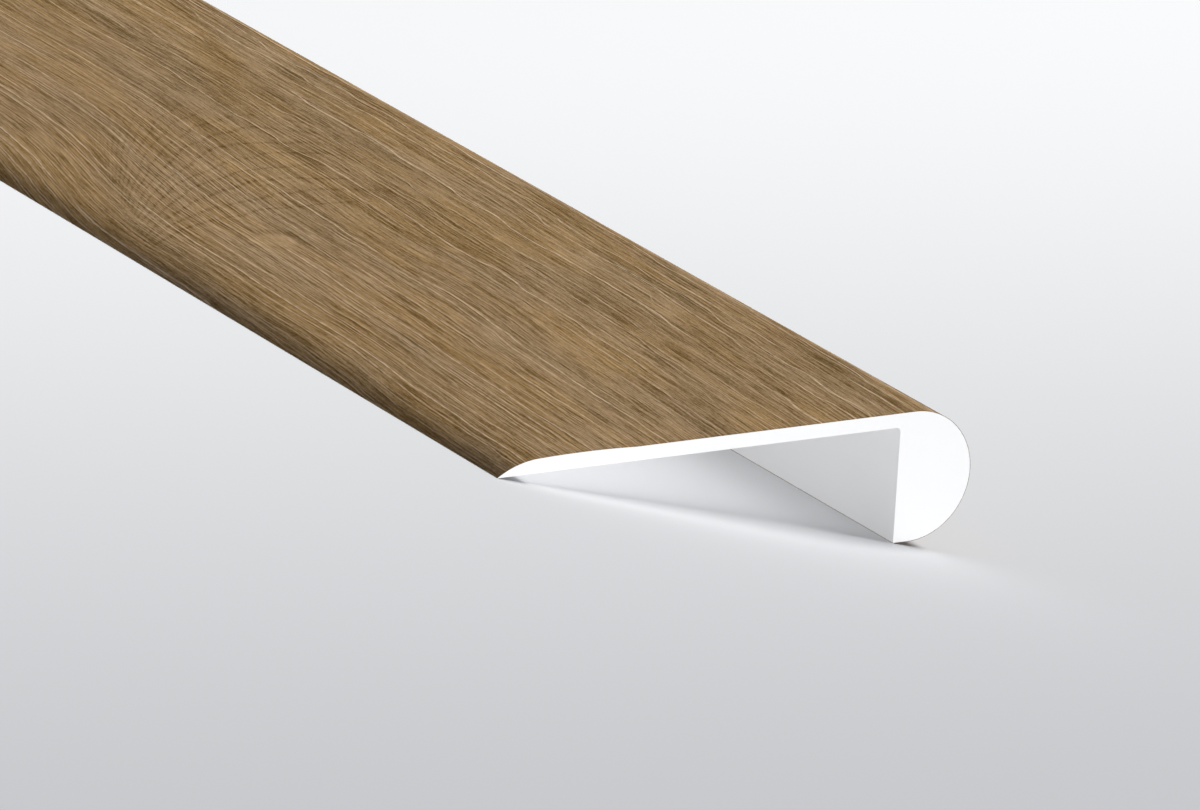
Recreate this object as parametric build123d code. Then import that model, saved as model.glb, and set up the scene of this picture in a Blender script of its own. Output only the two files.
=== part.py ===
"""Stair nosing: one solid length of profile stock, as it lies by itself on a level floor.

The section has three regions. The nose is a half-round front with a flat heel behind it. The flange is a
thin deck that runs back from the top of the nose. The lip is the feathered back edge of the flange, with a
low crown that rises just above the deck before it falls to the edge.

The section is drawn the way the piece is fitted on a step: x forward from the heel, z up from the bottom
of the nose. Unheld, the flange is too heavy for the narrow nose, so the piece settles back until its
feather edge meets the floor. The solid is turned into that pose, with its length along Y.
"""

from build123d import *
from math import atan2, cos, degrees, radians, sin, sqrt
import os

# Overall sizes in millimetres, in the inch fractions that such stock is made to
STOCK_LENGTH = 2387.6
SECTION_WIDTH = 114.3
NOSE_HEIGHT = 28.575
FLANGE_THICKNESS = 3.175

# Half-round front: its centre stands this far forward of the heel face
HEEL_TO_NOSE_CENTRE = 3.5
INNER_CORNER_RADIUS = 1.0

# Feathered lip, measured forward from the edge and up from the flange's underside
EDGE_LAND = 0.15
BEVEL_ANGLE = 32.0
BEVEL_BLEND_RADIUS = 19.0
LIP_LENGTH = 32.8
CREST_DISTANCE = 20.5
CREST_RISE = 0.32

# Sizes that follow from those above
nose_radius = NOSE_HEIGHT / 2
flange_reach = SECTION_WIDTH - nose_radius - HEEL_TO_NOSE_CENTRE
deck_underside = NOSE_HEIGHT - FLANGE_THICKNESS
edge_x = -flange_reach
rest_angle = degrees(atan2(deck_underside, flange_reach))


def lip_outline():
    """The land, bevel, blend and crown of the lip, from the feather edge to the flat deck.

    The crown is one shallow arc through the lip's end and its crest. The blend is an arc tangent to both
    the bevel and the crown, on the inside of each, so its centre is one blend radius in from the bevel and
    one crown radius less one blend radius from the crown's centre.
    """
    half_chord = LIP_LENGTH - CREST_DISTANCE
    crown_radius = (half_chord**2 + CREST_RISE**2) / (2 * CREST_RISE)
    crown_centre = Vector(edge_x + CREST_DISTANCE, NOSE_HEIGHT + CREST_RISE - crown_radius)

    bevel_start = Vector(edge_x, deck_underside + EDGE_LAND)
    along_bevel = Vector(cos(radians(BEVEL_ANGLE)), sin(radians(BEVEL_ANGLE)))
    into_bevel = Vector(along_bevel.Y, -along_bevel.X)

    offset_start = bevel_start + into_bevel * BEVEL_BLEND_RADIUS - crown_centre
    reach = crown_radius - BEVEL_BLEND_RADIUS
    half_b = offset_start.dot(along_bevel)
    bevel_length = -half_b + sqrt(half_b**2 - offset_start.dot(offset_start) + reach**2)
    blend_start = bevel_start + along_bevel * bevel_length
    blend_centre = blend_start + into_bevel * BEVEL_BLEND_RADIUS
    from_crown = (blend_centre - crown_centre).normalized()
    blend_end = crown_centre + from_crown * crown_radius
    blend_middle = blend_centre + (from_crown - into_bevel).normalized() * BEVEL_BLEND_RADIUS

    crest = crown_centre + Vector(0, crown_radius)
    lip_end = Vector(edge_x + LIP_LENGTH, NOSE_HEIGHT)
    return bevel_start, blend_start, blend_middle, blend_end, crest, lip_end


def nosing_section():
    """The closed section as fitted: heel corner at the origin, x forward, z up."""
    bevel_start, blend_start, blend_middle, blend_end, crest, lip_end = lip_outline()
    nose_bottom = Vector(HEEL_TO_NOSE_CENTRE, 0)
    nose_front = Vector(HEEL_TO_NOSE_CENTRE + nose_radius, nose_radius)
    nose_top = Vector(HEEL_TO_NOSE_CENTRE, NOSE_HEIGHT)
    inner_corner = Vector(0, deck_underside)
    edge = Vector(edge_x, deck_underside)
    with BuildSketch(Plane.XZ) as section:
        with BuildLine():
            Line((0, 0), nose_bottom)
            ThreePointArc(nose_bottom, nose_front, nose_top)
            Line(nose_top, lip_end)
            ThreePointArc(lip_end, crest, blend_end)
            ThreePointArc(blend_end, blend_middle, blend_start)
            Line(blend_start, bevel_start)
            Line(bevel_start, edge)
            Polyline(edge, inner_corner, (0, 0))
        make_face()
        corner = section.vertices().sort_by_distance(Plane.XZ.from_local_coords(inner_corner))[0]
        fillet(corner, INNER_CORNER_RADIUS)
    return section.sketch


def stair_nosing():
    """The full length, settled back on its heel and feather edge, centred on the floor under it."""
    stock = extrude(nosing_section(), amount=STOCK_LENGTH / 2, both=True)
    settled = Rotation(0, -rest_angle, 0) * stock
    box = settled.bounding_box()
    return Pos(-box.center().X, -box.center().Y, -box.min.Z) * settled


nosing = stair_nosing()
nosing.label = "stair_nosing"
os.makedirs("parts", exist_ok=True)
export_step(nosing, "parts/stair_nosing.step")
print("rest angle", round(rest_angle, 3), "volume", round(nosing.volume), "box", nosing.bounding_box())
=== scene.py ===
# %% [markdown]
# # A stair nosing with an oak face
#
# The object is one length of profile stock: a white core with a printed oak film wrapped over its
# lip, deck and nose. This lesson builds the two as separate surfaces, because a film and a core
# are cut, coloured and lit in different ways. The solid model of the part is loaded first and
# never changed: it gives the place and the size of everything else.

from math import atan2, cos, degrees, pi, radians, sin, sqrt

import bpy
import numpy as np
from mathutils import Matrix, Vector


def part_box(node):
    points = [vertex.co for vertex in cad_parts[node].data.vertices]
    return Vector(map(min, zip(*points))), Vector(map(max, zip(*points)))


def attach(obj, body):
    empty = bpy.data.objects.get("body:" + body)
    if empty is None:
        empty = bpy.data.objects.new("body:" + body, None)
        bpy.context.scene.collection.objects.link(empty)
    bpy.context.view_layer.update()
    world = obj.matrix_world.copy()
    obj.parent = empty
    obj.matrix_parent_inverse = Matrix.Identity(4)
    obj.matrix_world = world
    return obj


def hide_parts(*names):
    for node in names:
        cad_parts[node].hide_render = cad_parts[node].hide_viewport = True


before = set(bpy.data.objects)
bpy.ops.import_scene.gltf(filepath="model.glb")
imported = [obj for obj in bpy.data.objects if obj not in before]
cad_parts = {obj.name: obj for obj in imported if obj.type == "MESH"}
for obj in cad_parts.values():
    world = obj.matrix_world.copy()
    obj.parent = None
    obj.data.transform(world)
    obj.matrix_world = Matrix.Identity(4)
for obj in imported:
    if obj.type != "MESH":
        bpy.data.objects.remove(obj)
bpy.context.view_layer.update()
node_low, node_high = (np.array(corner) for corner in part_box("stair_nosing"))
print("solid from", node_low, "to", node_high)

# %% [markdown]
# ## The section
#
# Everything about this part is in its section, which is carried straight along the length. The
# section could be traced by hand with a curve tool. Worked out from a few sizes instead, every
# arc is exact and every point knows how far it lies along the surface, which the wood grain needs
# later.
#
# The sizes are the ones the part is made to: 4-1/2 in wide, 1-1/8 in high, a 1/8 in flange, and a
# half round at the front. The lip at the back rises by a third of a millimetre to a crown, then
# falls to a feather edge.

# %% Sizes of the section, in metres
MM = 0.001
SECTION_WIDTH = 114.3 * MM
NOSE_HEIGHT = 28.575 * MM
FLANGE_THICKNESS = 3.175 * MM
HEEL_TO_NOSE_CENTRE = 3.5 * MM
INNER_CORNER_RADIUS = 1.0 * MM
EDGE_LAND = 0.15 * MM
BEVEL_ANGLE = radians(32.0)
BEVEL_BLEND_RADIUS = 19.0 * MM
LIP_LENGTH = 32.8 * MM
CREST_DISTANCE = 20.5 * MM
CREST_RISE = 0.32 * MM
FILM_THICKNESS = 0.1 * MM

nose_radius = NOSE_HEIGHT / 2
edge_x = nose_radius + HEEL_TO_NOSE_CENTRE - SECTION_WIDTH
underside_z = NOSE_HEIGHT - FLANGE_THICKNESS
rest_angle = atan2(underside_z, -edge_x)
print("the stock lies tipped back by", round(degrees(rest_angle), 3), "degrees")


# %% Points along straight runs and arcs
def straight(start, end, count):
    """Points from start to end, evenly spaced: start plus a growing share of the way to end."""
    share = np.linspace(0, 1, count)[:, None]
    return np.array(start) + share * (np.array(end) - np.array(start))


def arc(centre, radius, start, end, count):
    """Points at one radius from the centre, at angles that grow evenly from start to end."""
    angle = np.linspace(start, end, count)
    return np.array(centre) + radius * np.column_stack([np.cos(angle), np.sin(angle)])


def distance_round(line):
    """How far each point lies along the line: the lengths of the runs before it, added up."""
    steps = np.diff(line, axis=0)
    return np.concatenate([[0], np.cumsum(np.hypot(steps[:, 0], steps[:, 1]))])


# %% [markdown]
# ## The face of the film
#
# The runs follow one another: bevel, blend, crown, deck, half circle, and the flat under the
# nose. The half circle gets the most points, because the sawn end shows it in outline. The others
# turn so little that a few are enough.

# %% The face of the film
FLAT_POINTS = 3
BLEND_POINTS = 17
CROWN_POINTS = 17
DECK_POINTS = 13
NOSE_POINTS = 65


def film_face():
    """The outer face of the film in the section, from the feather edge over the nose to the heel.

    The crown is the arc whose height at its crest is the crest rise. The blend touches both the
    bevel and the crown from inside, so its centre is one blend radius in from the bevel line and
    one crown radius less one blend radius from the crown's centre.
    """
    half_chord = LIP_LENGTH - CREST_DISTANCE
    crown_radius = (half_chord**2 + CREST_RISE**2) / (2 * CREST_RISE)
    crown_centre = np.array([edge_x + CREST_DISTANCE, NOSE_HEIGHT + CREST_RISE - crown_radius])
    bevel_start = np.array([edge_x, underside_z + EDGE_LAND])
    along_bevel = np.array([cos(BEVEL_ANGLE), sin(BEVEL_ANGLE)])
    into_bevel = np.array([along_bevel[1], -along_bevel[0]])

    offset = bevel_start + into_bevel * BEVEL_BLEND_RADIUS - crown_centre
    half_b = offset @ along_bevel
    reach = crown_radius - BEVEL_BLEND_RADIUS
    bevel_length = -half_b + sqrt(half_b**2 - offset @ offset + reach**2)
    blend_start = bevel_start + along_bevel * bevel_length
    blend_centre = blend_start + into_bevel * BEVEL_BLEND_RADIUS
    lean = atan2(*(blend_centre - crown_centre)[::-1])
    lip_end_angle = atan2(NOSE_HEIGHT - crown_centre[1], half_chord)
    nose_centre = np.array([HEEL_TO_NOSE_CENTRE, nose_radius])
    lip_end = np.array([edge_x + LIP_LENGTH, NOSE_HEIGHT])
    nose_top = np.array([HEEL_TO_NOSE_CENTRE, NOSE_HEIGHT])
    bevel_turn = pi / 2 + BEVEL_ANGLE
    runs = [
        straight(bevel_start, blend_start, FLAT_POINTS),
        arc(blend_centre, BEVEL_BLEND_RADIUS, bevel_turn, lean, BLEND_POINTS)[1:],
        arc(crown_centre, crown_radius, lean, lip_end_angle, CROWN_POINTS)[1:],
        straight(lip_end, nose_top, DECK_POINTS)[1:],
        arc(nose_centre, nose_radius, pi / 2, -pi / 2, NOSE_POINTS)[1:],
        straight((HEEL_TO_NOSE_CENTRE, 0), (0, 0), FLAT_POINTS)[1:],
    ]
    return np.vstack(runs)


outer = film_face()
across = distance_round(outer)
print("film is", round(across[-1] / MM, 2), "mm round, from", len(outer), "points")


# %% [markdown]
# ## From the face of the film to its back
#
# The back of the film is the same line moved in by the film's thickness. Each point moves square
# to the surface. The first point is at the feather edge, where the film is cut off upright, so it
# moves straight down by the thickness over the cosine of the bevel.

# %% Move the line in by the film's thickness
def moved_in(line, distance):
    """Each point moved by the distance along the mean of the normals of the two runs beside it."""
    run = np.diff(line, axis=0)
    run /= np.hypot(run[:, 0], run[:, 1])[:, None]
    inward = np.column_stack([run[:, 1], -run[:, 0]])
    mean = np.vstack([inward[:1], inward[:-1] + inward[1:], inward[-1:]])
    mean /= np.hypot(mean[:, 0], mean[:, 1])[:, None]
    return line + distance * mean


inner = moved_in(outer, FILM_THICKNESS)
inner[0] = outer[0] - [0, FILM_THICKNESS / cos(BEVEL_ANGLE)]
inner[-1] = outer[-1] + [0, FILM_THICKNESS]
print("back of the film is", round(distance_round(inner)[-1] / MM, 2), "mm round")


# %% [markdown]
# ## How it lies on the floor
#
# The flange is heavier than the nose can hold up, so a length of this stock tips back until its
# feather edge meets the floor. The section is turned by that angle. Then it is fitted to the box
# of the solid part, which differs by a few hundredths of a millimetre, because that part's arcs
# are made of flat facets.

# %% Settle the section into the solid's own box
def settled(points):
    """The points turned about the heel corner by the rest angle."""
    x, z = points[:, 0], points[:, 1]
    c, s = cos(rest_angle), sin(rest_angle)
    return np.column_stack([x * c - z * s, x * s + z * c])


whole = settled(np.vstack([outer, [[edge_x, underside_z]]]))
section_low, section_high = whole.min(axis=0), whole.max(axis=0)
box_low, box_high = node_low[[0, 2]], node_high[[0, 2]]
fit = (box_high - box_low) / (section_high - section_low)
print("fitted to the box by", fit)


def placed(points):
    """Settled points, stretched from the section's own box to the solid's box."""
    return box_low + (settled(points) - section_low) * fit


# %% [markdown]
# ## Carry a line along the length
#
# A surface of this kind is a grid: one direction runs round the section and the other along the
# length. Both are whole arrays, so numpy places every vertex at once. Stations every 150 mm are
# more than the shape needs, but they let the film be laid out flat in short strips, as a later
# cell explains.

# %% Stations along the length
STATIONS = 17
along = np.linspace(node_low[1], node_high[1], STATIONS)


def carried(line):
    """Grid of points: each point of the line, repeated at every station along the length."""
    flat = placed(line)
    grid = np.empty((STATIONS, len(line), 3))
    grid[:, :, 0] = flat[:, 0]
    grid[:, :, 1] = along[:, None]
    grid[:, :, 2] = flat[:, 1]
    return grid.reshape(-1, 3)


def loop_faces(count):
    """Quads between each station and the next, for a closed loop of that many points."""
    station, point = np.meshgrid(np.arange(STATIONS - 1), np.arange(count), indexing="ij")
    following = (point + 1) % count
    quads = [station * count + point, station * count + following]
    quads += [(station + 1) * count + following, (station + 1) * count + point]
    return np.stack(quads, axis=-1).reshape(-1, 4)


print(STATIONS, "stations,", round((along[1] - along[0]) / MM, 1), "mm apart")

# %% [markdown]
# ## The film
#
# The two lines, face and back, make one closed loop with as many points on each side. The ends of
# the film are then plain rows of quads from the one line to the other. Edges that turn by more
# than the sharp angle stay crisp, so the feather edge and the sawn ends don't look rounded.

# %% A piece from vertices and faces
SHARP_ANGLE = radians(20)


def new_piece(name, vertices, faces):
    """A mesh object at the origin, smooth but for its corners, on the root, with the solid part
    hidden.
    """
    mesh = bpy.data.meshes.new(name)
    mesh.from_pydata(vertices, [], faces)
    mesh.shade_smooth()
    mesh.set_sharp_from_angle(angle=SHARP_ANGLE)
    piece = bpy.data.objects.new(name, mesh)
    bpy.context.scene.collection.objects.link(piece)
    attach(piece, "root")
    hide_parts("stair_nosing")
    print(name, "has", len(faces), "faces")
    return piece


# %% The film
count = len(outer)
film_loop = np.vstack([outer, inner[::-1]])
ring = np.arange(count - 1)
behind_ring = 2 * count - 1 - ring
near_cap = np.column_stack([ring, behind_ring, behind_ring - 1, ring + 1])
far_cap = near_cap[:, ::-1] + (STATIONS - 1) * 2 * count
film_faces = np.vstack([loop_faces(2 * count), near_cap, far_cap])
film = new_piece("oak_film", carried(film_loop), film_faces.tolist())

# %% [markdown]
# ## The core
#
# The core fills what the film leaves. Its line follows the back of the film and then closes along
# the heel, the small inner corner and the underside of the flange. Both of its ends are sawn
# square.

# %% The core
CORNER_POINTS = 9

corner_centre = (-INNER_CORNER_RADIUS, underside_z - INNER_CORNER_RADIUS)
inner_corner = arc(corner_centre, INNER_CORNER_RADIUS, 0, pi / 2, CORNER_POINTS)
core_line = np.vstack([inner, inner_corner, [[edge_x, underside_z]]])
size = len(core_line)
core_faces = loop_faces(size).tolist()
core_faces.append(list(range(size))[::-1])
core_faces.append(list(range((STATIONS - 1) * size, STATIONS * size)))
core = new_piece("vinyl_core", carried(core_line), core_faces)

# %% [markdown]
# ## Where the grain reads its place
#
# A film bends with the surface under it, so its print must bend too. Object coordinates would
# squash the grain on the round nose. Each vertex therefore stores how far it lies round the
# section and how far along the length, both in millimetres, and the print is drawn on those two
# numbers.

# %% Store the flat place of every vertex of the film
round_film = np.concatenate([across, across[::-1]]) / MM
along_film = (along - along[0]) / MM
flat_place = np.zeros((STATIONS, 2 * count, 3), dtype=np.float32)
flat_place[:, :, 0] = round_film
flat_place[:, :, 1] = along_film[:, None]
stored = film.data.attributes.new("flat_place", "FLOAT_VECTOR", "POINT")
stored.data.foreach_set("vector", flat_place.ravel())
girth, full_length = float(round_film.max()), float(along_film.max())
print("print runs", round(girth, 1), "by", round(full_length, 1), "mm")

# %% [markdown]
# ## Lay both pieces out flat
#
# A picture baked from these surfaces is square, but the film is a strip 2.4 m long and 149 mm
# wide. Unrolled in one go it would fill only a sliver of the square. Cut at the stations into
# sixteen lengths and laid in four rows of four, it fills nearly all of it, and the grain keeps
# about one and a half pixels to the millimetre. The back of the film and its cut edges are out of
# sight, so they share narrow columns at the right.

# %% Rows and columns of a layout
ROWS = 4
ROW_GAP = 4.0
COLUMN_FOOT = 0.01
COLUMN_HEIGHT = 0.98


def lay_out(piece, across_picture, up_picture):
    """Stores a place in the square picture for every corner of every face, in the faces' order."""
    corners = np.column_stack([across_picture.ravel(), up_picture.ravel()]).astype(np.float32)
    piece.data.uv_layers.new(name="OFBake").data.foreach_set("uv", corners.ravel())
    print(piece.name, "lies within", corners.min(axis=0), corners.max(axis=0))


def in_rows(s, t, segment, row_height, side):
    """Rows of equal lengths: s goes up the row and t along it, as shares of the picture's side."""
    row, column = np.divmod(segment, ROWS)
    length = full_length / (STATIONS - 1)
    across_picture = (t - (segment - column) * length) / side
    return across_picture, (row * (row_height + ROW_GAP) + ROW_GAP / 2 + s) / side


def in_column(share, height, sides):
    """A narrow upright column: the share goes from its left side to its right."""
    left, right = sides
    return left + share * (right - left), COLUMN_FOOT + COLUMN_HEIGHT * height


# %% The film's layout
FILM_SIDE = 640.0
# left and right of each narrow column, as shares of the picture
BACK_COLUMN = (0.945, 0.962)
LIP_COLUMN = (0.968, 0.974)
HEEL_COLUMN = (0.980, 0.986)
ENDS_COLUMN = (0.992, 0.998)
END_FILLS = 0.9

ring_spot, station_spot = film_faces % (2 * count), film_faces // (2 * count)
s_spot, t_spot = round_film[ring_spot], along_film[station_spot]
segment, point = np.divmod(np.arange(len(film_faces))[:, None], 2 * count)
behind, far = ring_spot >= count, station_spot > 0
layouts = {
    "front": in_rows(s_spot, t_spot, segment, girth, FILM_SIDE),
    "back": in_column(s_spot / girth, t_spot / full_length, BACK_COLUMN),
    "lip cut": in_column(behind, t_spot / full_length, LIP_COLUMN),
    "heel cut": in_column(behind, t_spot / full_length, HEEL_COLUMN),
    "ends": in_column(behind, (s_spot / girth * END_FILLS + far) / 2, ENDS_COLUMN),
}
names = np.where(point < count - 1, "front", "back")
names[point == count - 1] = "heel cut"
names[point == 2 * count - 1] = "lip cut"
names[segment >= STATIONS - 1] = "ends"
rules = [np.broadcast_to(names == name, s_spot.shape) for name in layouts]
across_picture, up_picture = (
    np.select(rules, [layout[axis] for layout in layouts.values()]) for axis in (0, 1)
)
lay_out(film, across_picture, up_picture)

# %% [markdown]
# The core's heel and underside go in rows in the same way. Its two ends come next, drawn larger,
# because the saw's marks on them are fine. The faces under the film get a narrow band at the top.

# %% The core's layout
CORE_SIDE = 600.0
END_SCALE = 2.0
ENDS_UP = 0.825
ENDS_APART = 0.45
HIDDEN_UP = 0.935
HIDDEN_WIDTH = 0.98
HIDDEN_HEIGHT = 0.06

core_spot = np.concatenate([np.ravel(face) for face in core_faces])
ring_spot, station_spot = core_spot % size, core_spot // size
bare_round = distance_round(np.vstack([core_line[count - 1 :], core_line[:1]])) / MM
bare_spot = np.minimum((ring_spot - count + 1) % size, len(bare_round) - 1)
corner_face = np.repeat(np.arange(len(core_faces)), [len(face) for face in core_faces])
segment, point = np.divmod(corner_face, size)
t_spot = along_film[station_spot]
rows = in_rows(bare_round[bare_spot], t_spot, segment, bare_round[-1], CORE_SIDE)
s_share = round_film[np.minimum(ring_spot, count - 1)] / girth
hidden = (t_spot / full_length * HIDDEN_WIDTH, HIDDEN_UP + s_share * HIDDEN_HEIGHT)
section_spot = (core_line[ring_spot] - [edge_x, 0]) / MM * END_SCALE / CORE_SIDE
ends = (section_spot[:, 0] + ENDS_APART * (station_spot > 0), ENDS_UP + section_spot[:, 1])
rules = [segment >= STATIONS - 1, point < count - 1]
across_picture, up_picture = (
    np.select(rules, [ends[axis], hidden[axis]], rows[axis]) for axis in (0, 1)
)
lay_out(core, across_picture, up_picture)

# %% [markdown]
# ## Writing a shader as arithmetic
#
# A material is a network of small nodes. Long networks are hard to read as drawings, so here a
# wire can be added, multiplied and compared in Python, and each operation adds its node.


# %% A wire that can be calculated with
class Wire:
    """One output socket. Arithmetic on it adds Math nodes, and node() adds any other node."""

    def __init__(self, socket):
        self.socket = socket

    def node(self, kind, settings, values, out=0):
        """Adds a node of that kind, sets it, then fills its inputs with numbers or wires."""
        tree = self.socket.id_data
        made = tree.nodes.new(kind)
        for name, value in settings.items():
            setattr(made, name, value)
        for name, value in values.items():
            if isinstance(value, Wire):
                tree.links.new(value.socket, made.inputs[name])
            else:
                made.inputs[name].default_value = value
        return Wire(made.outputs[out])

    def parts(self):
        """The three numbers of a vector, a wire each."""
        split = self.node("ShaderNodeSeparateXYZ", {}, {0: self}).socket.node
        return [Wire(socket) for socket in split.outputs]

    def maths(self, operation, *values):
        """A Math node that does this operation on the values."""
        return self.node("ShaderNodeMath", {"operation": operation}, dict(enumerate(values)))

    def __add__(self, other):
        return self.maths("ADD", self, other)

    def __sub__(self, other):
        return self.maths("SUBTRACT", self, other)

    def __rsub__(self, other):
        return self.maths("SUBTRACT", other, self)

    def __mul__(self, other):
        return self.maths("MULTIPLY", self, other)

    def __truediv__(self, other):
        return self.maths("DIVIDE", self, other)

    __radd__ = __add__
    __rmul__ = __mul__

    def floor(self):
        return self.maths("FLOOR", self)

    def fraction(self):
        return self.maths("FRACT", self)

    def distance(self):
        """The distance from nought."""
        return self.maths("ABSOLUTE", self)

    def ramp(self, low, high):
        """0 below low, 1 above high, a smooth rise between. It falls where low is above high."""
        settings = {"interpolation_type": "SMOOTHSTEP"}
        values = {"Value": self, "From Min": low, "From Max": high}
        if low > high:
            values = {"Value": self, "From Min": high, "From Max": low}
            values.update({"To Min": 1.0, "To Max": 0.0})
        return self.node("ShaderNodeMapRange", settings, values)

    def mixed(self, first, second, blend="MIX"):
        """A colour between the first and the second, by this wire from 0 to 1."""
        settings = {"data_type": "RGBA", "blend_type": blend}
        return self.node("ShaderNodeMix", settings, {0: self, 6: first, 7: second}, out=2)

    def noise(self, detail=2.0, roughness=0.5):
        """Smooth noise from about 0.25 to 0.75 at this place, with a grain size of one unit."""
        settings = {"noise_dimensions": "3D"}
        values = {"Vector": self, "Scale": 1.0, "Detail": detail, "Roughness": roughness}
        return self.node("ShaderNodeTexNoise", settings, values)


# %% Materials for the wires to lead into
def new_material(name):
    """A material with one Principled shader, that shader, and a wire to start from."""
    material = bpy.data.materials.new(name)
    material.use_nodes = True
    shader = material.node_tree.nodes["Principled BSDF"]
    start = Wire(material.node_tree.nodes.new("ShaderNodeTexCoord").outputs["Object"])
    return material, shader, start


def connect(shader, name, wire):
    """Leads the wire into that input of the shader."""
    wire.socket.id_data.links.new(wire.socket, shader.inputs[name])


def finish_piece(piece, material):
    """Gives the piece its material and tells how many nodes it took."""
    piece.data.materials.append(material)
    print(material.name, "has", len(material.node_tree.nodes), "nodes")


# %% [markdown]
# ## The oak print
#
# Oak sawn flat shows several things at once. Growth rings run along the board and bend into
# arches beside a knot. Pale lines, each under half a millimetre wide, wander along with them.
# Fibres and pores make short streaks. Warm and greyish areas drift over all of it.
#
# One noise can't make all of these, so each is its own term, measured in millimetres round the
# section (s) and along the length (t). Two helpers serve every term: a place for noise whose
# marks have a given width and length, and a shift that swings either way. Each kind of mark also
# gets a seed, a number that need only differ from the others, so that no two kinds share a
# drawing.

# %% Helpers for every kind of mark
MIDDLE_OF_NOISE = 0.5
SWING_GAIN = 3.0


def stretched(s, t, size, seed):
    """A place for noise whose marks are size (width, length) in mm. A seed picks its drawing."""
    width, length = size
    return s.node("ShaderNodeCombineXYZ", {}, {"X": s / width, "Y": t / length, "Z": seed})


def swing(place, amount):
    """Noise turned into a shift of up to about the amount, either way."""
    return (place.noise(0.0) - MIDDLE_OF_NOISE) * (amount * SWING_GAIN)


def length_of(x, y):
    """The length of the vector (x, y)."""
    squares = x * x + y * y
    return squares.maths("SQRT", squares)


# %% [markdown]
# ## Knots
#
# A knot is the root of a branch, and the rings of the stem part round it. Only one knot shows in
# the photo, near the sawn end. The others keep the rest of the length from looking empty. A
# shader can't loop over a list, so the values of the nearest knot are built as steps: past a
# certain place, each value changes to the next knot's.

# %% Which knot is near
# distance along, distance round from the feather edge, and reach of the arches, in mm
KNOTS = [(150, 31, 120), (733, 96, 70), (1196, 58, 90), (1702, 24, 76), (2118, 84, 84)]
KNOT_AHEAD = 60.0


def nearest_knot(t):
    """Place and reach of the knot that t belongs to. Each steps to the next knot's ahead of it."""
    values = list(KNOTS[0])
    for before, after in zip(KNOTS, KNOTS[1:]):
        past = t.maths("GREATER_THAN", t, after[0] - KNOT_AHEAD)
        values = [past * (after[i] - before[i]) + values[i] for i in range(3)]
    return values


print(len(KNOTS), "knots, at", [knot[0] for knot in KNOTS], "mm from the near end")

# %% [markdown]
# ## The run of the grain
#
# The grain is a third coordinate: the distance round the section, bent a little, so that every
# mark drawn on it bends the same way. Each bend copies something that wood does. The drift leans
# the whole run one way and back. The sway is a slow wander, and the jog lets lines run straight
# and then step aside. Beyond a knot the grain on the lip's side spreads like a fan.
#
# Each bend is gentle across the grain, because the grain must always grow with the distance
# round. Where it didn't, the lines would curl back on themselves.

# %% How far each place has been bent aside
# each bend: width and length of its swings, then how far it shifts the grain, in mm
DRIFT_LENGTH, DRIFT = 1600.0, 13.0
SWAY_SIZE, SWAY = (70, 190), 1.5
SMALL_SWAY_SIZE, SMALL_SWAY = (24, 80), 0.4
JOG_SIZE, JOG = (55, 60), 1.0
TREMBLE_SIZE, TREMBLE = (5, 9), 0.14
JOG_STEP = (0.38, 0.62)
# the fan opens beyond the knot, closes further on, and fades from the lip's side to the nose's
FAN = 11.0
FAN_OPENS = (10, 115)
FAN_CLOSES = (350, 150)
FAN_SIDE = (75, 25)


def run_of_grain(s, t, dt):
    """The distance round, less the drift and the fan, plus the sway, the jog and a tremble."""
    turn = t * (2 * pi / DRIFT_LENGTH)
    drift = turn.maths("SINE", turn) * DRIFT
    sway = swing(stretched(s, t, SWAY_SIZE, 1.0), SWAY)
    sway = sway + swing(stretched(s, t, SMALL_SWAY_SIZE, 2.0), SMALL_SWAY)
    jog = stretched(s, t, JOG_SIZE, 9.0).noise(0.0).ramp(*JOG_STEP) * JOG
    tremble = swing(stretched(s, t, TREMBLE_SIZE, 3.0), TREMBLE)
    fan = dt.ramp(*FAN_OPENS) * dt.ramp(*FAN_CLOSES) * s.ramp(*FAN_SIDE) * FAN
    return s - drift - fan + sway + jog + tremble


# %% [markdown]
# ## Arches beside a knot
#
# On a flat-sawn face the rings beyond a knot show as nested arches, faint and thin, that cross
# the fibres. Their feet stand close together by the lip, and their tops bulge away from the knot
# and turn back towards it. A parabola does that: the bulge is 1 along the arches' axis and falls
# off as the square of the height above or below it. Both the place of the first arch and the step
# to the next grow with the bulge.
#
# The heart of the knot is a small pale spot with a dark crescent on its upper side.

# %% Sizes of the arches and the heart
# in mm, but for the lean, which is a slope
FOOT = 8.0
BULGE = 13.0
FOOT_STEP = 3.4
STEP_BULGE = 5.6
AXIS_ABOVE_KNOT = 11.0
AXIS_LEAN = 0.3
HALF_HEIGHT = 38.0
ARCH_HALF_WIDTH = 1.3
LINE_TOP = 0.1
ARCH_WOBBLE_SIZE, ARCH_WOBBLE = (9, 14), 0.2
# where the arches fade: along their reach, up their height, at their rim and before the first
REACH_FADE = (1.0, 0.5)
HEIGHT_FADE = (0.75, 0.1)
RIM_FADE = (-0.25, 0.15)
FIRST_FADE = (-0.5, -0.1)
# the heart: its pale spot, and the crescent's radius, breadth, lean and upper side
SPOT = (5.5, 3.0)
SPOT_PALE = 0.16
CRESCENT_RADIUS = 6.5
CRESCENT_BREADTH = (2.6, 0.4)
CRESCENT_LEAN = 0.4
CRESCENT_SIDE = (1.0, 6.0)
CRESCENT_DARK = 0.18


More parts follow.
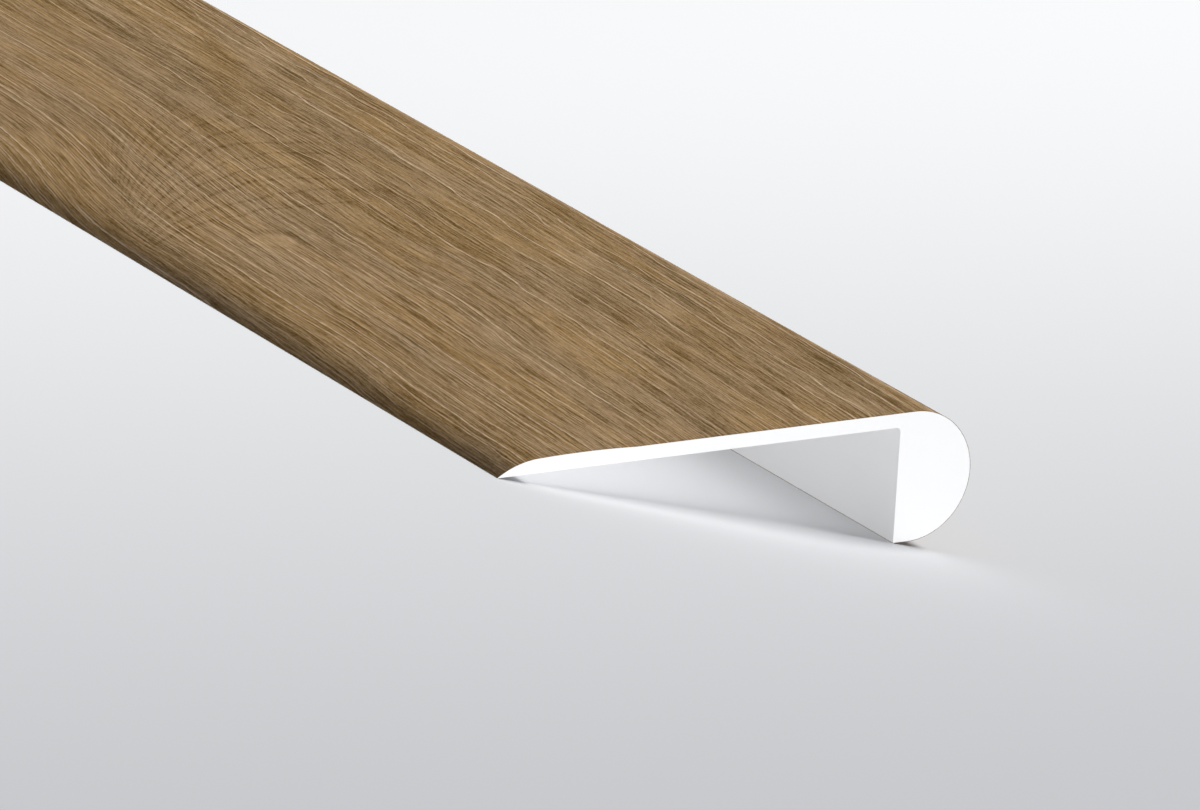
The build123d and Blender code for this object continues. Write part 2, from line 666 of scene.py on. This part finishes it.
# %% Arches and heart of a knot
def arches(s, t, ds, dt, reach):
    """Thin arches where the distance beyond the foot, counted in steps, is a whole number."""
    height = (ds - AXIS_ABOVE_KNOT - dt * AXIS_LEAN) / HALF_HEIGHT
    bulge = 1.0 - height * height
    step = bulge * STEP_BULGE + FOOT_STEP
    wobble = swing(stretched(s, t, ARCH_WOBBLE_SIZE, 20.0), ARCH_WOBBLE)
    count = (dt - bulge * BULGE - FOOT) / step + wobble
    off = ((count + 0.5).fraction() - 0.5) * step
    line = off.distance().ramp(ARCH_HALF_WIDTH, LINE_TOP)
    fade = (dt / reach).ramp(*REACH_FADE) * height.ramp(*HEIGHT_FADE) * bulge.ramp(*RIM_FADE)
    return line * fade * count.ramp(*FIRST_FADE)


def heart(ds, dt):
    """The knot's small pale middle, less a dark crescent on its upper side."""
    distance = length_of(ds, dt)
    crescent = (distance - CRESCENT_RADIUS).distance().ramp(*CRESCENT_BREADTH)
    crescent = crescent * (ds + dt * CRESCENT_LEAN).ramp(*CRESCENT_SIDE)
    return distance.ramp(*SPOT) * SPOT_PALE - crescent * CRESCENT_DARK


# %% [markdown]
# ## Pale lines
#
# The bright threads are drawn at even steps of the grain. The grain over the spacing counts them:
# the whole part of the count names a line, and the fraction says how far a place is from its
# middle. The name picks noise of its own, so every line comes, goes, kinks and swells by itself,
# as real ones do. Beside each line runs a thin painted shadow: darker colour in place of the shade
# that an embossed ridge would cast.

# %% Sizes of the pale lines
# spacing, half width, length, share of the board that shows them, and how far they kink
LIP_LINES = (2.3, 0.24, 45, 0.84, 0.12)
NOSE_LINES = (3.8, 0.26, 80, 0.76, 0.24)
FAINT_LINES = (1.15, 0.20, 40, 0.66, 0.10)
# how far apart in the noise two lines, two kinks and two bands stand
LINES_APART, KINKS_APART, BANDS_APART = 3.1, 5.3, 3.7
# the count strays by this much, and more where lines kink
STRAY_SIZE, STRAY, STRAY_BY_KINK = (9, 60), 0.05, 0.6
KINK_LENGTH, KINK_STEP = 24.0, (0.41, 0.59)
RAGGED_SIZE, RAGGED = (0.8, 3.0), 0.08
# a line shows where its noise is above a threshold, lower for the lines that show more
THRESHOLD, THRESHOLD_BY_SHARE, THRESHOLD_SOFT = 0.72, 0.5, 0.1
# along each line the strength breaks up, and by chance each is weaker and thinner or wider
BROKEN_SIZE, BROKEN_STEP, BROKEN = (0.5, 2.2), (0.25, 0.6), 0.55
WEAKER = 0.65
THINNEST, WIDER = 0.65, 0.7
FULL_WITHIN = 0.05
# a painted shadow lies beside each line, in place of the shade of an embossed ridge; how far aside
# and how wide, both in half widths of the line
SHADOW_ASIDE, SHADOW_HALF_WIDTH = 1.6, 1.5
BAND_LENGTH = 60.0


# %% Pale lines
def white_noise(value):
    """A chance from 0 to 1 that is picked afresh for every value."""
    return value.node("ShaderNodeTexWhiteNoise", {"noise_dimensions": "1D"}, {"W": value})


def line_family(s, t, grain, family, seed):
    """Pale lines at even steps of the grain, a painted shadow beside each and the bands between.
    """
    spacing, half_width, length, share, kink_share = family
    stray = swing(stretched(s, t, STRAY_SIZE, seed), STRAY + kink_share * STRAY_BY_KINK)
    count = grain / spacing + stray
    number = count.floor()
    chance = white_noise(number + seed)
    threshold = THRESHOLD - share * THRESHOLD_BY_SHARE
    present = stretched(number * LINES_APART, t, (1.0, length), seed).noise(1.0)
    present = present.ramp(threshold, threshold + THRESHOLD_SOFT)
    kink = stretched(number * KINKS_APART, t, (1.0, KINK_LENGTH), seed).noise(0.0)
    kink = kink.ramp(*KINK_STEP) * (spacing * kink_share)
    ragged = swing(stretched(s, t, RAGGED_SIZE, seed + 0.5), RAGGED)
    off = (count.fraction() - 0.5 - kink_share / 2) * spacing + kink + ragged
    broken = stretched(s, t, BROKEN_SIZE, seed + 0.8).noise(0.0).ramp(*BROKEN_STEP)
    strength = present * (chance * WEAKER + (1 - WEAKER)) * (broken * BROKEN + (1 - BROKEN))
    line = (off.distance() / (chance * WIDER + THINNEST)).ramp(half_width, FULL_WITHIN) * strength
    # painted shadow: a dark stripe beside the pale line, colour standing in for the shade of an
    # embossed ridge
    painted_shadow = (off + half_width * SHADOW_ASIDE).distance()
    painted_shadow = painted_shadow.ramp(half_width * SHADOW_HALF_WIDTH, FULL_WITHIN) * strength
    band = (count + 0.5).floor() * BANDS_APART
    shade = stretched(band, t, (1.0, BAND_LENGTH), seed + 0.3).noise(1.0) - MIDDLE_OF_NOISE
    return line, painted_shadow, shade


# %% [markdown]
# ## Fibres and pores
#
# The rest is streaks of every size, from short scratches a quarter of a millimetre wide to bands
# that run on for a hand's length. Each size is one stretched noise, and all of them are added up.

# %% Fibres
# width, length and strength of each size of streak
STREAKS = [
    (0.25, 1.2, 0.64),
    (0.24, 4.6, 0.78),
    (0.48, 14, 1.15),
    (1.1, 36, 0.46),
    (2.4, 34, 0.14),
    (5.2, 50, 0.05),
    (15, 110, 0.18),
]
FIRST_STREAK_SEED = 30.0


def fibres(grain, t):
    """The sum of the stretched noises, each centred on nought."""
    layers = []
    for seed, (width, length, strength) in enumerate(STREAKS):
        place = stretched(grain, t, (width, length), FIRST_STREAK_SEED + seed)
        layers.append((place.noise(1.0) - MIDDLE_OF_NOISE) * strength)
    return sum(layers[1:], layers[0])


print("streaks from", STREAKS[0][0], "to", STREAKS[-1][0], "mm wide")

# %% [markdown]
# ## Put the print together
#
# All the marks add up to one tone from 0 to 1, which mixes a dark brown with a pale one. There are
# two such pairs, one greyish and one golden, and slow noise chooses between them. The pale lines
# come last, in a colour of their own. Over the last millimetres before the feather edge the colour
# is painted darker: painted shade, where the lip turns away from the light.
#
# The finer lines of the lip's side pass into the wider ones of the nose's side over a soft
# border.

# %% Colours and strengths of the print
DARK_GREY_OAK = (0.114, 0.059, 0.007, 1.0)
DARK_GOLDEN_OAK = (0.120, 0.057, 0.001, 1.0)
LIGHT_GREY_OAK = (0.55, 0.372, 0.205, 1.0)
LIGHT_GOLDEN_OAK = (0.57, 0.368, 0.172, 1.0)
PALE_LINE = (0.70, 0.52, 0.345, 1.0)
# painted shade over the last millimetres before the feather edge: the colour multiplied in, and
# how far in mm it reaches
PAINTED_EDGE_SHADE = (0.60, 0.60, 0.62, 1.0)
PAINTED_SHADE_REACH = 6.0
# where the lip's side ends, and half the width of the border
LIP_SIDE, BORDER = 50.0, 5.0
MIDDLE_TONE = 0.395
# how strongly each mark counts
FAINT_LINE, FAINT_PAINTED_SHADOW = 0.55, 0.5
LIP_SHADE, NOSE_SHADE, FAINT_SHADE = 0.34, 0.66, 0.28
LINE_COVERS = 0.88
ARCH_DARK, ARCH_BY_STREAK = 0.16, 0.25
# how much the painted shadows beside the pale lines darken the tone, and how much the pores do
PAINTED_SHADOW_DARK, PORE_DARK = 0.14, 0.03
PORE_SIZE, PORE_STEP = (0.26, 6.0), (0.60, 0.74)
PATCH_SIZE, PATCH_STEP = (12, 60), (0.38, 0.62)
OAK_ROUGHNESS, PORE_ROUGHNESS, OAK_SHEEN = 0.62, 0.12, 0.12


# %% The printed film
def oak_film():
    """Tone = middle + streaks + bands + heart - painted shadows - arches - pores, under the pale
    lines.
    """
    material, shader, start = new_material("oak_film")
    flat = start.node("ShaderNodeAttribute", {"attribute_name": "flat_place"}, {}, out=1)
    s, t = flat.parts()[:2]
    knot_along, knot_round, reach = nearest_knot(t)
    ds, dt = s - knot_round, t - knot_along
    grain = run_of_grain(s, t, dt)

    lip_line, lip_painted_shadow, lip_band = line_family(s, t, grain, LIP_LINES, 40.0)
    nose_line, nose_painted_shadow, nose_band = line_family(s, t, grain, NOSE_LINES, 50.0)
    faint_line, faint_painted_shadow, faint_band = line_family(s, t, grain, FAINT_LINES, 60.0)
    nose_side = grain.ramp(LIP_SIDE - BORDER, LIP_SIDE + BORDER)
    lip_side = 1.0 - nose_side
    line = lip_line * lip_side + nose_line * nose_side + faint_line * FAINT_LINE
    # the painted shadows beside the pale lines, from each family
    painted_shadow = lip_painted_shadow * lip_side + nose_painted_shadow * nose_side + faint_painted_shadow * FAINT_PAINTED_SHADOW
    band = lip_band * lip_side * LIP_SHADE + nose_band * nose_side * NOSE_SHADE
    band = band + faint_band * FAINT_SHADE
    pore = stretched(grain, t, PORE_SIZE, 7.0).noise(0.0).ramp(*PORE_STEP)
    streak = fibres(grain, t)
    arch = arches(s, t, ds, dt, reach) * (ARCH_DARK - streak * ARCH_BY_STREAK)
    # the painted shadows darken the tone beside each pale line
    tone = streak + MIDDLE_TONE - painted_shadow * PAINTED_SHADOW_DARK + band
    tone = tone - arch - pore * PORE_DARK + heart(ds, dt)

    patch = stretched(grain, t, PATCH_SIZE, 8.0).noise(1.0).ramp(*PATCH_STEP)
    dark = patch.mixed(DARK_GREY_OAK, DARK_GOLDEN_OAK)
    light = patch.mixed(LIGHT_GREY_OAK, LIGHT_GOLDEN_OAK)
    colour = (line * LINE_COVERS).mixed(tone.mixed(dark, light), PALE_LINE)
    # painted shade: the film darker towards the feather edge, where the lip turns away from the
    # light
    colour = s.ramp(PAINTED_SHADE_REACH, 0.0).mixed(colour, PAINTED_EDGE_SHADE, "MULTIPLY")
    connect(shader, "Base Color", colour)
    connect(shader, "Roughness", pore * PORE_ROUGHNESS + OAK_ROUGHNESS)
    shader.inputs["Specular IOR Level"].default_value = OAK_SHEEN
    return material


finish_piece(film, oak_film())

# %% [markdown]
# ## The white core
#
# Extruded vinyl is plain white. Its long faces carry faint drag lines, because the die scratches
# everything that is pushed through it. A saw blade leaves arcs on both ends: each tooth cuts a
# circle about the blade's centre, and the next tooth cuts one a little further on. Both marks are
# only a few thousandths of a millimetre deep, so they are a bump and a change of gloss, and the
# colour stays even.

# %% The core's finish
VINYL_WHITE = (0.88, 0.88, 0.88, 1.0)
DRAG_WIDTH = 1.3 * MM
DRAG_LENGTH = 400 * MM
BLADE_CENTRE = (0.045, -0.115)
ARC_STEP = 1.7 * MM
ARC_DEPTH = 0.25
ARC_WANDER = 3.0
END_DEPTH = 0.2 * MM
MARK_DEPTH = 0.006 * MM
VINYL_ROUGHNESS, MARK_ROUGHNESS = 0.42, 0.16


def vinyl():
    """Drag lines are noise drawn out along the length. Arcs are a sine of the blade's radius."""
    material, shader, start = new_material("vinyl_core")
    x, y, z = start.parts()
    place = {"X": x / DRAG_WIDTH, "Y": z / DRAG_WIDTH, "Z": y / DRAG_LENGTH}
    drag = start.node("ShaderNodeCombineXYZ", {}, place).noise(2.0)
    radius = length_of(x - BLADE_CENTRE[0], z - BLADE_CENTRE[1])
    turn = radius * (2 * pi / ARC_STEP) + drag * ARC_WANDER
    arc_mark = turn.maths("SINE", turn) * ARC_DEPTH + MIDDLE_OF_NOISE
    on_end = y.distance().ramp(node_high[1] - END_DEPTH, node_high[1] - END_DEPTH / 2)
    mark = drag + (arc_mark - drag) * on_end
    relief = {"Height": mark, "Distance": MARK_DEPTH, "Strength": 1.0}
    connect(shader, "Normal", mark.node("ShaderNodeBump", {}, relief))
    connect(shader, "Roughness", mark * MARK_ROUGHNESS + VINYL_ROUGHNESS)
    shader.inputs["Base Color"].default_value = VINYL_WHITE
    return material


finish_piece(core, vinyl())

# %% [markdown]
# ## Floor
#
# The floor is one very large pale sheet. It has to reach far, because the lens is long and the
# camera stands well back in the other views. A pool of light is painted on it: in a soft oval
# round the middle of the part it is nearly white, and beyond that a painted falloff to light grey,
# where a studio lamp would fall off. The white sawn end stands out against that.

# %% Floor
FLOOR_HALF = 90.0
# a painted pool of light: the way of its short axis, its stretch, its half width and soft edge in
# metres, then the painted falloff grey outside it and the lit tone inside
PAINTED_POOL_WAY = radians(124.43)
PAINTED_POOL_STRETCH = 2.5
PAINTED_POOL_HALF = 0.70
PAINTED_POOL_EDGE = 0.56
FLOOR_IN_PAINTED_FALLOFF = (0.480, 0.486, 0.502, 1.0)
FLOOR_IN_PAINTED_POOL = (0.812, 0.817, 0.826, 1.0)
FLOOR_ROUGHNESS, FLOOR_SHEEN = 0.9, 0.1

floor_mesh = bpy.data.meshes.new("floor")
floor_corners = FLOOR_HALF * np.array([(-1, -1, 0), (1, -1, 0), (1, 1, 0), (-1, 1, 0)])
floor_mesh.from_pydata(floor_corners.tolist(), [], [(0, 1, 2, 3)])
floor = bpy.data.objects.new("floor", floor_mesh)
bpy.context.scene.collection.objects.link(floor)


def floor_with_painted_pool():
    """A matt sheet with a painted pool of light, paler in an oval: distance from its centre counts
    less along its long axis.
    """
    material, shader, start = new_material("floor_with_painted_pool")
    x, y = start.parts()[:2]
    short = x * cos(PAINTED_POOL_WAY) + y * sin(PAINTED_POOL_WAY)
    long = (x * sin(PAINTED_POOL_WAY) - y * cos(PAINTED_POOL_WAY)) / PAINTED_POOL_STRETCH
    # painted light: paler inside the oval, a painted falloff to grey beyond it
    tone = length_of(short, long).ramp(PAINTED_POOL_HALF + PAINTED_POOL_EDGE, PAINTED_POOL_HALF)
    connect(shader, "Base Color", tone.mixed(FLOOR_IN_PAINTED_FALLOFF, FLOOR_IN_PAINTED_POOL))
    shader.inputs["Roughness"].default_value = FLOOR_ROUGHNESS
    shader.inputs["Specular IOR Level"].default_value = FLOOR_SHEEN
    return material


finish_piece(floor, floor_with_painted_pool())

# %% [markdown]
# ## Light
#
# Two soft lamps do most of the work. The high one stands beyond the nose, so the deck is bright
# and the feathered lip falls into shade. The low one stands near the camera and lights the sawn
# end and the hollow. A photographer would hold a black card to keep that low light off the film.
# Light linking does the same.
#
# A third lamp, as long and narrow as the hollow itself, hangs right under the flange and shines
# on the floor only. The photo shows the piece with nothing under it, so light reaches in there
# from below. On a floor the hollow would be dark. Such a close lamp fills the floor's whole sky,
# which is how a lamp acts that stands off by the root of its area over pi.

# %% Lamps
# width and height, strength, distance, and the bearing and height in degrees that each stands at
HIGH_LAMP = ((6.2, 6.2), 1.18, 14.0, (8, 53))
LOW_LAMP = ((3.4, 1.5), 0.745, 7.0, (-110, 7))
LAMPS_LOOK_AT = Vector((0.0, -1.1, 0.02))
HOLLOW_SIZE = (0.0796, 2.390)
HOLLOW_STRENGTH = 0.70
HOLLOW_PLACE = (-0.0115, 0.0, 0.011)
SKY_COLOUR = (0.95, 0.97, 1.0, 1.0)
SKY_STRENGTH = 0.18


def area_lamp(name, size, strength, distance, lit=()):
    """A soft lamp. Strength 1 makes a white face turned to it, that far off, look just white."""
    data = bpy.data.lights.new(name, "AREA")
    data.shape = "RECTANGLE"
    data.size, data.size_y = size
    data.energy = strength * (pi * distance) ** 2
    made = bpy.data.objects.new(name, data)
    made.visible_camera = False
    bpy.context.scene.collection.objects.link(made)
    if lit:
        made.light_linking.receiver_collection = bpy.data.collections.new("lit_by_" + name)
        for thing in lit:
            made.light_linking.receiver_collection.objects.link(thing)
    print(name, "has", round(data.energy, 2), "W")
    return made


# %% Set the lamps and the sky
def studio_lamp(name, lamp, lit=()):
    """A lamp at its bearing and height from the near end, turned to look there."""
    size, strength, distance, angles = lamp
    made = area_lamp(name, size, strength, distance, lit)
    bearing, rise = (radians(angle) for angle in angles)
    way = Vector((cos(bearing) * cos(rise), sin(bearing) * cos(rise), sin(rise)))
    made.location = LAMPS_LOOK_AT + way * distance
    made.rotation_euler = way.to_track_quat("Z", "Y").to_euler()


studio_lamp("high_lamp", HIGH_LAMP)
studio_lamp("low_lamp", LOW_LAMP, [core, floor])
stand_off = sqrt(HOLLOW_SIZE[0] * HOLLOW_SIZE[1] / pi)
hollow_lamp = area_lamp("hollow_lamp", HOLLOW_SIZE, HOLLOW_STRENGTH, stand_off, [floor])
hollow_lamp.location = HOLLOW_PLACE
hollow_lamp.rotation_euler = (0.0, -rest_angle, 0.0)

world = bpy.data.worlds.new("studio")
bpy.context.scene.world = world
world.use_nodes = True
sky = world.node_tree.nodes["Background"]
sky.inputs["Color"].default_value = SKY_COLOUR
sky.inputs["Strength"].default_value = SKY_STRENGTH
bpy.context.scene.view_settings.view_transform = "Standard"

# %% [markdown]
# ## Camera
#
# The photo was taken with a very long lens, from the lip side, low over the deck. The camera
# keeps that view of the part, and because the part lies tipped back on the floor, the camera is
# rolled with it.

# %% Camera
VIEW_FROM = radians(-124.26)
VIEW_ABOVE = radians(9.80)
VIEW_ROLL = radians(16.197)
LENS = 405.44
SENSOR = 36.0
NEAREST, FARTHEST = 0.1, 200.0
CAMERA_PLACE = Vector((-1.57081, -3.44471, 0.48906))

flat_reach = cos(VIEW_ABOVE)
toward = Vector((cos(VIEW_FROM) * flat_reach, sin(VIEW_FROM) * flat_reach, sin(VIEW_ABOVE)))
level = Vector((0, 0, 1)).cross(toward).normalized()
upright = toward.cross(level)
right = level * cos(VIEW_ROLL) + upright * sin(VIEW_ROLL)
up = toward.cross(right)
camera_data = bpy.data.cameras.new("camera")
camera_data.lens = LENS
camera_data.sensor_width = SENSOR
camera_data.sensor_fit = "HORIZONTAL"
camera_data.clip_start = NEAREST
camera_data.clip_end = FARTHEST
camera = bpy.data.objects.new("camera", camera_data)
turned = Matrix((right, up, toward)).transposed()
camera.matrix_world = Matrix.Translation(CAMERA_PLACE) @ turned.to_4x4()
bpy.context.scene.collection.objects.link(camera)
bpy.context.scene.camera = camera
print("camera looks along", tuple(round(-number, 3) for number in toward))
